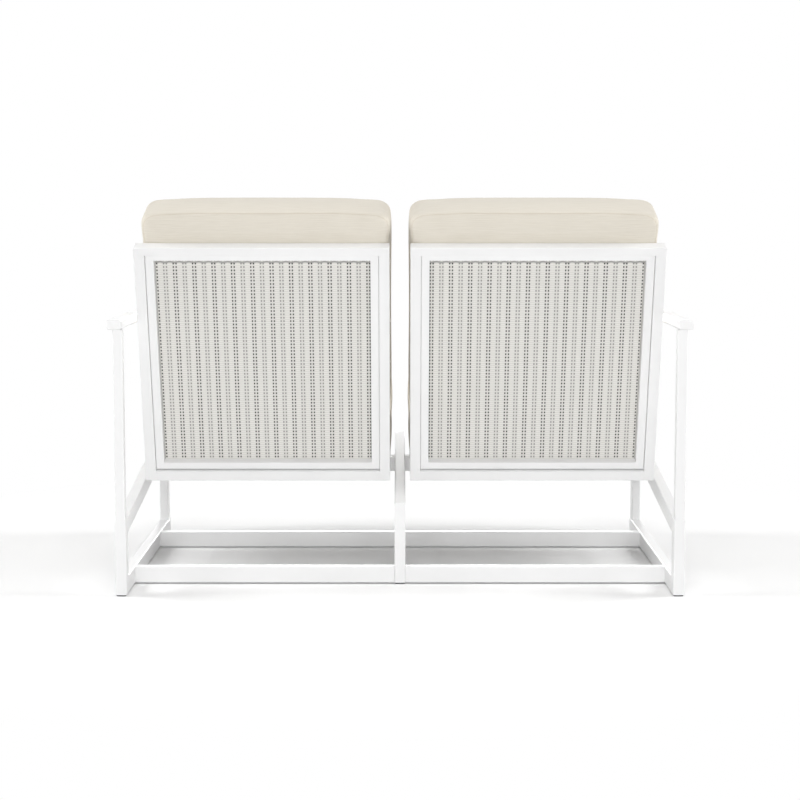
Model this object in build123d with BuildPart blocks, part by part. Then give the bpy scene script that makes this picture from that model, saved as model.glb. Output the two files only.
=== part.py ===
"""Outdoor two-seat bench: a fixed tube frame that carries two separate rocking seats.

The bench stands on its glides, faces -Y and is as wide as its arms are far apart in X.
Two directions repeat. "Forward" is measured from the rear faces of the rear legs, and
the seat slope is the plane of the tops of the seat rails, which rise towards the front.
"""

import os
from math import cos, hypot, radians, sin

from build123d import *

# Overall sizes
frame_width = 1278.6
overall_depth = 820.0
arm_top_height = 622.0

# Frame tube
tube_width = 25.4
tube_height = 38.1
post_width = 22.0
rear_post_depth = 25.4
tube_wall = 2.0
tube_corner = 3.0
overrun = 30.0

# Glides
glide_height = 3.0
glide_inset = 1.7
glide_corner = 4.0
glide_edge = 0.8

# Arm rests
arm_width = 33.0
arm_thickness = 22.0
arm_overhang = 11.2
arm_corner = 5.0

# Seat rails
rail_rear_height = 172.0
seat_slope = 7.24

# Base and cross rails, forward of the rear faces of the rear legs
rear_base_forward = 139.7
front_base_forward = 599.9
cross_rail_along = 556.0

# Seats
seat_inner_side = 23.7
seat_side_gap = 11.9
seat_lift = 18.6
seat_tube_width = 24.0
seat_front_setback = 11.5
seat_rear_trim = 8.0
seat_rear_tube = 36.0
frame_edge_radius = 1.8

# Backs
back_forward = 262.0
back_base_height = 224.0
back_recline = 17.1
back_height = 580.0
back_depth = 38.0
back_top_tube = 18.6
back_bottom_tube = 24.0
back_lip = 10.0
sling_recess = 9.0
sling_frame_depth = 22.0
sling_frame_side = 19.0
sling_frame_bottom = 17.5
sling_frame_top = 12.4
shadow_gap = 2.0
shadow_gap_side = 0.5
sling_thickness = 1.2
seat_sling_margin = 8.0

# Rocking
rock_back = 8.0
rock_forward = 6.0
pivot_ahead = 22.0
pivot_drop = 10.0
pivot_inset = 120.0
pin_diameter = 10.0
pin_play = 0.05
hole_play = 0.1
bush_diameter = 20.0
lug_diameter = 27.0
lug_width = 32.0
lug_play = 0.5
rocker_thickness = 5.0
rocker_length = 96.0
rocker_width = 58.0
plate_corner = 6.0
bracket_thickness = 4.0
bracket_width = 66.0
bracket_margin = 1.0
bracket_nose = 12.0
bracket_reach = 44.0
shelf_depth = 22.0
pivot_bar_depth = 50.0
pivot_bar_height = 25.4
stop_diameter = 16.0
stop_play = 0.3
stop_edge = 1.0

# Fasteners
nut_across_flats = 17.0
bolt_head_height = 6.4
nut_height = 8.0
thread_end = 3.0
screw_diameter = 6.0
screw_play = 0.1
screw_length = 14.0
screw_head_diameter = 10.0
screw_head_height = 3.0
screw_edge = 1.0
screw_spread = 20.0
bracket_screw_inset = 9.5

# Cushions
cushion_gap = 0.3
seat_cushion_side_over = 3.85
seat_cushion_thickness = 122.0
seat_cushion_rear_gap = 1.0
seat_cushion_front_over = 1.0
back_cushion_side_in = 4.15
back_cushion_shift = 8.0
back_cushion_thickness = 126.0
back_cushion_nest = 1.38
back_cushion_over_top = 70.0
cushion_crown = 12.0
cushion_corner = 34.0
cushion_draw = 4.0
cushion_roll = 18.0

# Frame places worked out from the sizes above
rear_y = overall_depth / 2
half_frame = frame_width / 2
leg_x = half_frame - tube_width / 2
leg_inner_x = half_frame - tube_width
arm_x = half_frame + arm_overhang - arm_width / 2
arm_bottom = arm_top_height - arm_thickness
base_top = glide_height + tube_height
post_rear_forward = overall_depth - tube_height
slope_sin = sin(radians(seat_slope))
slope_cos = cos(radians(seat_slope))
seat_width = leg_inner_x - seat_side_gap - seat_inner_side
seat_x = seat_inner_side + seat_width / 2
seat_front_along = (overall_depth - seat_front_setback) / slope_cos
pivot_along = cross_rail_along + tube_width + pivot_ahead
pivot_half_spread = seat_width / 2 - pivot_inset


def slope_point(x, along, above):
    """Point at a distance along the seat slope and above it."""
    y = rear_y - along * slope_cos + above * slope_sin
    z = rail_rear_height + along * slope_sin + above * slope_cos
    return (x, y, z)


def slope_plane(x, above, along=0):
    """Plane parallel to the seat slope, with its local y pointing backward."""
    normal = (0, slope_sin, slope_cos)
    return Plane(origin=slope_point(x, along, above), x_dir=(1, 0, 0), z_dir=normal)


def slope_section(x, along=0, above=0):
    """Upright plane across X whose local x runs forward up the seat slope and local y above it."""
    forward = (0, -slope_cos, slope_sin)
    return Plane(origin=slope_point(x, along, above), x_dir=forward, z_dir=(-1, 0, 0))


def back_plane(x, depth=0, height=0):
    """Plane of a reclined back, local y up the back and normal pointing to the front."""
    lean_sin = sin(radians(back_recline))
    lean_cos = cos(radians(back_recline))
    y = rear_y - back_forward + height * lean_sin - depth * lean_cos
    z = back_base_height + height * lean_cos + depth * lean_sin
    return Plane(origin=(x, y, z), x_dir=(1, 0, 0), z_dir=(0, -lean_cos, lean_sin))


def back_face_along(above):
    """Distance along the seat slope at which the front face of a back crosses a height above it."""
    face = back_plane(0, back_depth)
    start = Vector(slope_point(0, 0, above))
    forward = Vector(0, -slope_cos, slope_sin)
    return face.z_dir.dot(face.origin - start) / face.z_dir.dot(forward)


def back_height_at(depth, above):
    """Height up a back at which a plane of that depth meets a height above the seat slope."""
    face = back_plane(0, depth)
    slope = slope_plane(0, above)
    return slope.z_dir.dot(slope.origin - face.origin) / slope.z_dir.dot(face.y_dir)


def forward_of(distance, facing=-1):
    """Upright plane at a distance forward of the rear legs, facing forward (-1) or backward (1)."""
    return Plane(origin=(0, rear_y - distance, 0), x_dir=(1, 0, 0), z_dir=(0, facing, 0))


def tube(section, width, height, length, wall, corner, ends=()):
    """Rectangular tube with rounded corners.

    ends lists (plane, closed) pairs. Each plane faces into the tube and cuts it there, and
    a closed end keeps a wall of its own.
    """
    with BuildPart() as skin:
        with BuildSketch(section):
            RectangleRounded(width, height, corner)
        extrude(amount=length)
        for plane, _ in ends:
            split(bisect_by=plane, keep=Keep.TOP)
    with BuildPart() as bore:
        with BuildSketch(section.offset(-overrun)):
            RectangleRounded(width - 2 * wall, height - 2 * wall, corner - wall)
        extrude(amount=length + 2 * overrun)
        for plane, closed in ends:
            if closed:
                split(bisect_by=plane.offset(wall), keep=Keep.TOP)
    with BuildPart() as shell:
        add(skin.part)
        add(bore.part, mode=Mode.SUBTRACT)
    return shell.part


def mitred_frame(plane, width, height, depth, side, top, bottom, wall, lip=0, lip_depth=0, trim=None):
    """Four mitred tubes around a window, as separate solids.

    The plane's origin is the middle of the lower outer edge. A lip on the far side narrows
    the window, and trim is a plane facing into the frame that cuts its outer side.
    """
    top_lip = lip * top / side
    bottom_lip = lip * bottom / side
    window_width = width - 2 * side
    window_height = height - top - bottom
    with BuildPart() as ring:
        with BuildSketch(plane):
            with Locations((0, height / 2)):
                Rectangle(width, height)
        extrude(amount=depth)
        fillet(ring.edges(), frame_edge_radius)
        if trim:
            split(bisect_by=trim, keep=Keep.TOP)
        with BuildSketch(plane):
            with Locations((0, bottom + window_height / 2)):
                Rectangle(window_width, window_height)
        extrude(amount=depth - lip_depth, mode=Mode.SUBTRACT)
        with BuildSketch(plane):
            with Locations((0, bottom + bottom_lip + (window_height - top_lip - bottom_lip) / 2)):
                Rectangle(window_width - 2 * lip, window_height - top_lip - bottom_lip)
        extrude(amount=depth, mode=Mode.SUBTRACT)
    with BuildPart() as bore:
        with BuildSketch(plane.offset(wall)):
            with Locations((0, height / 2)):
                Rectangle(width - 2 * wall, height - 2 * wall)
            with Locations((0, bottom + window_height / 2)):
                Rectangle(window_width + 2 * wall, window_height + 2 * wall, mode=Mode.SUBTRACT)
        extrude(amount=depth - 2 * wall)
        if trim:
            split(bisect_by=trim.offset(wall), keep=Keep.TOP)
    members = []
    corners = (
        ((-width / 2, height), (side, -top)),
        ((width / 2, height), (-side, -top)),
        ((width / 2, 0), (-side, bottom)),
        ((-width / 2, 0), (side, bottom)),
    )
    mitres = [mitre_plane(plane, corner, inward) for corner, inward in corners]
    for index, mitre in enumerate(mitres):
        following = mitres[(index + 1) % len(mitres)]
        with BuildPart() as member:
            add(ring.part)
            add(bore.part, mode=Mode.SUBTRACT)
            split(bisect_by=mitre, keep=Keep.TOP)
            split(bisect_by=following, keep=Keep.BOTTOM)
        members.extend(member.part.solids())
    return members


def mitre_plane(plane, corner, inward):
    """Plane through a frame's corner along its mitre, facing the member that follows."""
    origin = plane.from_local_coords(corner)
    towards = plane.from_local_coords((corner[0] + inward[0], corner[1] + inward[1])) - origin
    return Plane(origin=origin, x_dir=towards, z_dir=towards.cross(plane.z_dir) * -1)


def cushion(plane, width, height, thickness):
    """Boxed cushion standing on its plane, with drawn-in sides, rolled edges and a crown.

    The plane's origin is the middle of the lower edge of its rear panel. The front panel is
    a shallow dome, whose radius follows from the crown and the half diagonal.
    """
    half_diagonal = hypot(width, height) / 2
    dome_radius = (half_diagonal ** 2 + cushion_crown ** 2) / (2 * cushion_crown)
    dome_centre = plane.from_local_coords((0, height / 2, thickness + cushion_crown - dome_radius))
    dome = Plane(origin=dome_centre, x_dir=plane.z_dir * -1, z_dir=plane.y_dir)
    half_width, middle = width / 2, height / 2
    with BuildPart() as body:
        with BuildSketch(plane):
            with BuildLine():
                ThreePointArc((-half_width, 0), (0, cushion_draw), (half_width, 0))
                ThreePointArc((half_width, 0), (half_width - cushion_draw, middle), (half_width, height))
                ThreePointArc((half_width, height), (0, height - cushion_draw), (-half_width, height))
                ThreePointArc((-half_width, height), (cushion_draw - half_width, middle), (-half_width, 0))
            make_face()
            fillet(vertices(), cushion_corner)
        extrude(amount=thickness + 2 * cushion_crown)
        with Locations(dome):
            Sphere(dome_radius, mode=Mode.INTERSECT)
        panels = body.faces().sort_by(Axis(plane.origin, plane.z_dir))
        fillet(panels[0].edges() + panels[-1].edges(), cushion_roll)
    return body.part


def screw(seat):
    """Round-headed screw whose head stands on its seat plane and whose shank goes the other way."""
    with BuildPart() as body:
        with BuildSketch(seat):
            Circle(screw_head_diameter / 2)
        extrude(amount=screw_head_height)
        fillet(body.edges().sort_by(Axis(seat.origin, seat.z_dir))[-1], screw_edge)
        with BuildSketch(seat):
            Circle(screw_diameter / 2)
        extrude(amount=-screw_length)
    return body.part


def drilled(part, seats, diameter):
    """Piece with a screw hole on each seat plane, as deep as the screws are long."""
    with BuildPart() as body:
        add(part)
        for seat in seats:
            with BuildSketch(seat):
                Circle(diameter / 2)
            extrude(amount=-screw_length, mode=Mode.SUBTRACT)
    return body.part


def save(part, name):
    """Label a piece, which may be several solids, and write it to its own file."""
    piece = part if isinstance(part, Part) else Compound(children=list(part))
    piece.label = name
    export_step(piece, f"parts/{name}.step")


def both_sides(part, name):
    """Save a left piece and its mirror image on the right."""
    pieces = [part] if isinstance(part, Part) else list(part)
    save(part, f"{name}_left")
    twins = []
    for piece in pieces:
        with BuildPart() as twin:
            mirror(piece, about=Plane.YZ)
        twins.extend(twin.part.solids())
    save(twins, f"{name}_right")


os.makedirs("parts", exist_ok=True)

rail_top = slope_plane(0, 0)
under_rail_top = Plane(origin=rail_top.origin, x_dir=(1, 0, 0), z_dir=rail_top.z_dir * -1)
leg_front = forward_of(tube_height)
post_rear = forward_of(post_rear_forward, facing=1)

# Side frames
rear_leg = tube(
    Plane(origin=(leg_x, rear_y - tube_height / 2, glide_height)),
    tube_width, tube_height, rail_rear_height, tube_wall, tube_corner,
    ends=[(under_rail_top, True)],
)
both_sides(rear_leg, "rear_leg")

side_base_section = Plane(
    origin=(leg_x, rear_y - tube_height, glide_height + tube_height / 2),
    x_dir=(1, 0, 0), z_dir=(0, -1, 0),
)
side_base_rail = tube(
    side_base_section, tube_width, tube_height, overall_depth, tube_wall, tube_corner,
    ends=[(forward_of(overall_depth, facing=1), True)],
)
both_sides(side_base_rail, "side_base_rail")

front_post = tube(
    Plane(origin=(leg_x, tube_height / 2 - rear_y, base_top)),
    post_width, tube_height, arm_bottom - base_top, tube_wall, tube_corner,
)
both_sides(front_post, "front_post")

rear_arm_post = tube(
    Plane(origin=(leg_x, rear_y - rear_post_depth / 2, base_top)),
    post_width, rear_post_depth, arm_bottom - base_top, tube_wall, tube_corner,
    ends=[(rail_top, False)],
)
both_sides(rear_arm_post, "rear_arm_post")

rail_axis = slope_section(0, 0, -tube_height / 2)
rail_section = Plane(
    origin=slope_point(leg_x, 0, -tube_height / 2), x_dir=(1, 0, 0), z_dir=rail_axis.x_dir
)
seat_side_rail = tube(
    rail_section, tube_width, tube_height, overall_depth, tube_wall, tube_corner,
    ends=[(leg_front, False), (post_rear, False)],
)
both_sides(seat_side_rail, "seat_side_rail")

arm_section = Plane(
    origin=(arm_x, rear_y, arm_bottom + arm_thickness / 2), x_dir=(1, 0, 0), z_dir=(0, -1, 0)
)
with BuildPart() as arm:
    with BuildSketch(arm_section):
        RectangleRounded(arm_width, arm_thickness, arm_corner)
    extrude(amount=overall_depth)
    arm_ends = arm.faces().sort_by(Axis.Y)
    fillet(arm_ends[0].edges() + arm_ends[-1].edges(), frame_edge_radius)
both_sides(arm.part, "arm_rest")

# Base rails and centre frame
for rail_name, rail_forward in (("rear_base_rail", rear_base_forward), ("front_base_rail", front_base_forward)):
    base_section = Plane(
        origin=(tube_width / 2, rear_y - rail_forward - tube_width / 2, glide_height + tube_height / 2),
        x_dir=(0, 1, 0), z_dir=(1, 0, 0),
    )
    base_rail = tube(
        base_section, tube_width, tube_height, leg_inner_x - tube_width / 2, tube_wall, tube_corner
    )
    both_sides(base_rail, rail_name)

under_centre_rail = Plane(
    origin=slope_point(0, 0, -tube_height), x_dir=(1, 0, 0), z_dir=rail_top.z_dir * -1
)
for leg_name, leg_forward in (("centre_rear_leg", rear_base_forward), ("centre_front_leg", front_base_forward)):
    centre_leg = tube(
        Plane(origin=(0, rear_y - leg_forward - tube_width / 2, glide_height)),
        tube_width, tube_width, arm_bottom, tube_wall, tube_corner,
        ends=[(under_centre_rail, False)],
    )
    save(centre_leg, leg_name)

centre_seat_rail = tube(
    Plane(origin=slope_point(0, 0, -tube_height / 2), x_dir=(1, 0, 0), z_dir=rail_axis.x_dir),
    tube_width, tube_height, overall_depth + tube_height, tube_wall, tube_corner,
    ends=[(forward_of(rear_base_forward), True), (forward_of(overall_depth, facing=1), True)],
)
save(centre_seat_rail, "centre_seat_rail")

cross_section = Plane(
    origin=slope_point(tube_width / 2, cross_rail_along + tube_width / 2, -tube_height / 2),
    x_dir=rail_axis.x_dir * -1, z_dir=(1, 0, 0),
)
cross_rail = tube(
    cross_section, tube_width, tube_height, leg_inner_x - tube_width / 2, tube_wall, tube_corner
)

# Glides under each foot
glide_places = [
    (side * leg_x, rear_y - tube_height / 2, tube_height) for side in (-1, 1)
] + [
    (side * leg_x, tube_height / 2 - rear_y, tube_height) for side in (-1, 1)
] + [
    (0, rear_y - rear_base_forward - tube_width / 2, tube_width),
    (0, rear_y - front_base_forward - tube_width / 2, tube_width),
]
glides = []
for glide_x, glide_y, glide_length in glide_places:
    with BuildPart() as glide:
        with BuildSketch(Plane(origin=(glide_x, glide_y, 0))):
            RectangleRounded(tube_width - 2 * glide_inset, glide_length - 2 * glide_inset, glide_corner)
        extrude(amount=glide_height)
        chamfer(glide.faces().sort_by(Axis.Z)[0].edges(), glide_edge)
    glides.append(glide.part)
save(glides, "foot_glides")

# Seats: each is built on the left and mirrored
back_face = back_plane(seat_x, back_depth)
seat_rear_along = back_face_along(seat_lift + tube_height) - seat_rear_trim
seat_frame = mitred_frame(
    slope_plane(seat_x, seat_lift, seat_front_along),
    seat_width, seat_front_along - seat_rear_along, tube_height,
    seat_tube_width, seat_rear_tube, seat_tube_width, tube_wall, trim=back_face,
)
both_sides(seat_frame, "seat_frame")

back_frame = mitred_frame(
    back_plane(seat_x), seat_width, back_height, back_depth,
    seat_tube_width, back_top_tube, back_bottom_tube, tube_wall,
    lip=back_lip, lip_depth=back_depth - sling_recess - sling_frame_depth - sling_thickness,
)
both_sides(back_frame, "back_frame")

sling_frame_outer_width = seat_width - 2 * seat_tube_width - 2 * shadow_gap_side
sling_frame_foot = back_bottom_tube + shadow_gap
sling_frame_height = back_height - back_top_tube - shadow_gap - sling_frame_foot
sling_frame = mitred_frame(
    back_plane(seat_x, sling_recess, sling_frame_foot), sling_frame_outer_width, sling_frame_height,
    sling_frame_depth, sling_frame_side, sling_frame_top, sling_frame_bottom, tube_wall,
)
both_sides(sling_frame, "sling_frame")

with BuildPart() as back_sling:
    with BuildSketch(back_plane(seat_x, sling_recess + sling_frame_depth, sling_frame_foot)):
        with Locations((0, sling_frame_height / 2)):
            Rectangle(sling_frame_outer_width, sling_frame_height)
    extrude(amount=sling_thickness)
both_sides(back_sling.part, "back_sling")

seat_sling_front = seat_front_along - seat_sling_margin
seat_sling_rear = back_face_along(seat_lift + tube_height) + seat_sling_margin
with BuildPart() as seat_sling:
    with BuildSketch(slope_plane(seat_x, seat_lift + tube_height, seat_sling_front)):
        with Locations((0, (seat_sling_front - seat_sling_rear) / 2)):
            Rectangle(seat_width - 2 * seat_sling_margin, seat_sling_front - seat_sling_rear)
    extrude(amount=sling_thickness)
both_sides(seat_sling.part, "seat_sling")

# Pivot bar, rockers, brackets and stops
pivot_bar = tube(
    Plane(
        origin=slope_point(seat_inner_side + seat_tube_width, pivot_along, seat_lift + pivot_bar_height / 2),
        x_dir=rail_axis.x_dir * -1, z_dir=(1, 0, 0),
    ),
    pivot_bar_depth, pivot_bar_height, seat_width - 2 * seat_tube_width, tube_wall, tube_corner,
)

pivot_places = [seat_x - pivot_half_spread, seat_x + pivot_half_spread]
rocker_under = seat_lift - rocker_thickness
axis_to_rocker = rocker_under + pivot_drop
rockers = []
rocker_screws = []
bushes = []
brackets = []
bracket_screws = []
bolts = []
nuts = []
stops = []
bracket_inner = lug_width / 2 + lug_play
bracket_outer = bracket_inner + bracket_thickness


def stop_height(distance, angle):
    """Height of a stop whose outer edge meets the rocker when the seat has turned by the angle."""
    lever = distance + stop_diameter / 2
    drop = axis_to_rocker * cos(radians(angle)) - lever * sin(radians(angle))
    return drop - pivot_drop - stop_play


bracket_rear = -pivot_ahead
bracket_front = bracket_rear + bracket_thickness
bracket_foot = pivot_drop + bracket_margin - tube_height
bracket_screw_x = (bracket_width / 2 + bracket_outer) / 2

for pivot_x in pivot_places:
    pivot_start = slope_section(pivot_x + lug_width / 2, pivot_along, -pivot_drop)
    with BuildPart() as rocker:
        with BuildSketch(slope_plane(pivot_x, rocker_under, pivot_along)):
            RectangleRounded(rocker_width, rocker_length, plate_corner)
        extrude(amount=rocker_thickness)
        with BuildSketch(pivot_start):
            Circle(lug_diameter / 2)
            with Locations((0, axis_to_rocker / 2)):
                Rectangle(lug_diameter, axis_to_rocker)
        extrude(amount=lug_width)
        with BuildSketch(pivot_start):
            Circle(bush_diameter / 2)
        extrude(amount=lug_width, mode=Mode.SUBTRACT)
    rocker_seats = [
        Plane(origin=slope_point(pivot_x + side * screw_spread, pivot_along + end * screw_spread, rocker_under),
              x_dir=(1, 0, 0), z_dir=rail_top.z_dir * -1)
        for side in (-1, 1) for end in (-1, 1)
    ]
    rockers.append(drilled(rocker.part, rocker_seats, screw_diameter + 2 * screw_play))
    rocker_screws.extend(screw(seat) for seat in rocker_seats)
    pivot_bar = drilled(pivot_bar, rocker_seats, screw_diameter + 2 * screw_play)

    with BuildPart() as bush:
        with BuildSketch(pivot_start):
            Circle(bush_diameter / 2 - pin_play / 2)
            Circle(pin_diameter / 2 + pin_play, mode=Mode.SUBTRACT)
        extrude(amount=lug_width)
    bushes.append(bush.part)

    with BuildPart() as bracket:
        with BuildSketch(slope_section(pivot_x + bracket_width / 2, pivot_along, -pivot_drop)):
            with BuildLine():
                Polyline(
                    (bracket_rear, bracket_foot),
                    (bracket_rear, pivot_drop),
                    (bracket_front, pivot_drop),
                    (bracket_front, bracket_foot),
                    close=True,
                )
            make_face()
        extrude(amount=bracket_width)
        for ear_left in (bracket_outer, -bracket_inner):
            with BuildSketch(slope_section(pivot_x + ear_left, pivot_along, -pivot_drop)):
                with BuildLine():
                    Polyline(
                        (bracket_rear, bracket_foot),
                        (bracket_rear, pivot_drop),
                        (bracket_reach, pivot_drop),
                        (bracket_reach, pivot_drop - 2 * bracket_thickness),
                        (bracket_nose, bracket_foot),
                        close=True,
                    )
                make_face()
            extrude(amount=bracket_thickness)
        with BuildSketch(slope_section(pivot_x + bracket_outer, pivot_along, -pivot_drop)):
            with Locations((bracket_reach - shelf_depth / 2, pivot_drop - bracket_thickness / 2)):
                Rectangle(shelf_depth, bracket_thickness)
        extrude(amount=2 * bracket_outer)
        with BuildSketch(slope_section(pivot_x + bracket_outer, pivot_along, -pivot_drop)):
            Circle(pin_diameter / 2 + hole_play)
        extrude(amount=2 * bracket_outer, mode=Mode.SUBTRACT)
    bracket_seats = [
        Plane(origin=slope_point(pivot_x + side * bracket_screw_x, pivot_along + bracket_front, height),
              x_dir=(1, 0, 0), z_dir=rail_axis.x_dir)
        for side in (-1, 1) for height in (-bracket_screw_inset, bracket_screw_inset - tube_height)
    ]
    brackets.append(drilled(bracket.part, bracket_seats, screw_diameter + 2 * screw_play))
    bracket_screws.extend(screw(seat) for seat in bracket_seats)
    cross_rail = drilled(cross_rail, bracket_seats, screw_diameter + 2 * screw_play)

    with BuildPart() as bolt:
        with BuildSketch(slope_section(pivot_x + bracket_outer + bolt_head_height, pivot_along, -pivot_drop)):
            RegularPolygon(nut_across_flats / 2, 6, major_radius=False)
        extrude(amount=bolt_head_height)
        with BuildSketch(slope_section(pivot_x + bracket_outer, pivot_along, -pivot_drop)):
            Circle(pin_diameter / 2)
        extrude(amount=2 * bracket_outer + nut_height + thread_end)
    bolts.append(bolt.part)

    with BuildPart() as nut:
        with BuildSketch(slope_section(pivot_x - bracket_outer, pivot_along, -pivot_drop)):
            RegularPolygon(nut_across_flats / 2, 6, major_radius=False)
            Circle(pin_diameter / 2 + pin_play, mode=Mode.SUBTRACT)
        extrude(amount=nut_height)
    nuts.append(nut.part)

    shelf_stop = bracket_reach - shelf_depth / 2
    rail_stop = pivot_ahead + tube_width / 2
    for stop_along, stop_distance, angle in (
        (pivot_along + shelf_stop, shelf_stop, rock_forward),
        (pivot_along - rail_stop, rail_stop, rock_back),
    ):
        with BuildPart() as stop:
            with BuildSketch(slope_plane(pivot_x, 0, stop_along)):
                Circle(stop_diameter / 2)
            extrude(amount=stop_height(stop_distance, angle))
            chamfer(stop.faces().sort_by(Axis.Z)[-1].edges(), stop_edge)
        stops.append(stop.part)

both_sides(pivot_bar, "pivot_bar")
both_sides(cross_rail, "cross_rail")
both_sides(rockers, "rockers")
both_sides(bushes, "pivot_bushes")
both_sides(rocker_screws, "rocker_screws")
both_sides(brackets, "pivot_brackets")
both_sides(bracket_screws, "bracket_screws")
both_sides(bolts, "pivot_bolts")
both_sides(nuts, "pivot_nuts")
both_sides(stops, "rubber_stops")

# Cushions
seat_cushion_base = seat_lift + tube_height + sling_thickness + cushion_gap
seat_cushion_front = seat_front_along + seat_cushion_front_over
seat_cushion_rear = back_face_along(seat_cushion_base) + seat_cushion_rear_gap
seat_cushion = cushion(
    slope_plane(seat_x, seat_cushion_base, seat_cushion_front),
    seat_width + 2 * seat_cushion_side_over, seat_cushion_front - seat_cushion_rear,
    seat_cushion_thickness,
)
both_sides(seat_cushion, "seat_cushion")

back_cushion_depth = back_depth + cushion_gap
seat_cushion_edge = seat_cushion_base + seat_cushion_thickness
back_cushion_foot = back_height_at(back_cushion_depth, seat_cushion_edge - back_cushion_nest)
back_cushion = cushion(
    back_plane(seat_x - back_cushion_shift, back_cushion_depth, back_cushion_foot),
    seat_width - 2 * back_cushion_side_in, back_height + back_cushion_over_top - back_cushion_foot,
    back_cushion_thickness,
)
both_sides(back_cushion, "back_cushion")
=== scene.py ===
"""A white outdoor bench with two rocking seats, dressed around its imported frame."""

import logging
import math
from dataclasses import dataclass
from enum import Enum

import bmesh
import bpy
from bmesh.types import BMesh
from bpy.types import Material, Mesh, Node, NodeSocket, NodeTree, Object
from mathutils import Matrix, Vector
from mathutils.bvhtree import BVHTree


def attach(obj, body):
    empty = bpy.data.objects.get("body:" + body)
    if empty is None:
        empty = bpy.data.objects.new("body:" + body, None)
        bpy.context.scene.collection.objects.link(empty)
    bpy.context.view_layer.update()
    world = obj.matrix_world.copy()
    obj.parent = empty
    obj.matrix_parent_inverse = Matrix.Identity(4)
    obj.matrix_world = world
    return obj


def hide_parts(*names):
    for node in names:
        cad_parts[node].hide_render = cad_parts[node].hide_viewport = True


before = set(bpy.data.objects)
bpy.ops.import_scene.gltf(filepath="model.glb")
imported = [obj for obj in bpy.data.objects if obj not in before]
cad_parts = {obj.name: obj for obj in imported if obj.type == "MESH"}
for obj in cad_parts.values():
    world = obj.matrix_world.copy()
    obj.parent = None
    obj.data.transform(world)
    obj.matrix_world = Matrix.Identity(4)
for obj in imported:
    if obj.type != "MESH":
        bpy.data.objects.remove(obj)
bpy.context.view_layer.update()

Sockets = dict[int | str, object]

MM = 0.001
DIAGONAL = math.sqrt(0.5)  # the cosine of 45 degrees, where a cushion's panel turns into its boxing
WAVE_RATE = 20  # the radians that a wave texture turns in a metre, at a scale of 1
BLACK = "000000"
WHITE = "FFFFFF"
log = logging.getLogger("bench")


class Side(Enum):
    """The side of the bench, as a person who sits on it has it."""

    LEFT = "left"
    RIGHT = "right"

    @property
    def body(self) -> str:
        """The moving body of this side's seat."""
        return f"{self.value}_seat"


class Slot(Enum):
    """The record's material slots."""

    COAT = "white_powder_coat"
    CLOTH = "cushion_cloth"
    MESH = "mesh_sling"
    NYLON = "glide_nylon"
    STEEL = "zinc_steel"
    RUBBER = "rubber"


def linear(code: str) -> tuple[float, float, float, float]:
    """Turn an sRGB hex colour into linear light, by the sRGB curve.

    Args:
        code: six hex digits.

    Returns:
        Red, green, blue and an alpha of one.
    """
    parts = [int(code[start:start + 2], 16) / 255 for start in (0, 2, 4)]
    lights = [part / 12.92 if part <= 0.04045 else ((part + 0.055) / 1.055) ** 2.4 for part in parts]
    return (*lights, 1.0)


def put(tree: NodeTree, kind: str, sockets: Sockets | None = None, **settings: object) -> Node:
    """Add one shader node with its settings, values and links.

    Args:
        tree: the tree that takes the node.
        kind: the node's Blender type.
        sockets: input name or number, to a value or to the output that it is linked to.
        settings: the node's own attributes.

    Returns:
        The new node.
    """
    node = tree.nodes.new(kind)
    for name, value in settings.items():
        setattr(node, name, value)
    for key, value in (sockets or {}).items():
        if isinstance(value, NodeSocket):
            tree.links.new(value, node.inputs[key])
        else:
            node.inputs[key].default_value = value
    return node


def ramp(node: Node, *stops: tuple[float, str]) -> NodeSocket:
    """Set a colour ramp's stops.

    Args:
        node: the colour ramp.
        stops: position and sRGB hex colour of each stop, in order.

    Returns:
        The ramp's colour output.
    """
    elements = node.color_ramp.elements
    while len(elements) < len(stops):
        elements.new(1.0)
    for element, (position, code) in zip(elements, stops):
        element.position = position
        element.color = linear(code)
    return node.outputs["Color"]


def grain_scale(size_mm: float) -> float:
    """The scale of a noise texture whose grains are about so many millimetres wide."""
    return 1 / (size_mm * MM)


def wave_scale(period_mm: float) -> float:
    """The scale of a wave texture whose bands come every so many millimetres."""
    return math.tau / (WAVE_RATE * period_mm * MM)


def new_surface(name: str) -> tuple[Material, NodeTree]:
    """Start a material with an empty node tree.

    Args:
        name: the material's name.

    Returns:
        The material and its tree.
    """
    material = bpy.data.materials.new(name)
    material.use_nodes = True
    material.node_tree.nodes.clear()
    return material, material.node_tree


def finish_surface(tree: NodeTree, sockets: Sockets) -> None:
    """End a material in one Principled shader.

    Args:
        tree: the material's tree.
        sockets: the shader's values and links, by input name.
    """
    shader = put(tree, "ShaderNodeBsdfPrincipled", sockets)
    put(tree, "ShaderNodeOutputMaterial", {"Surface": shader.outputs[0]})


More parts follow.
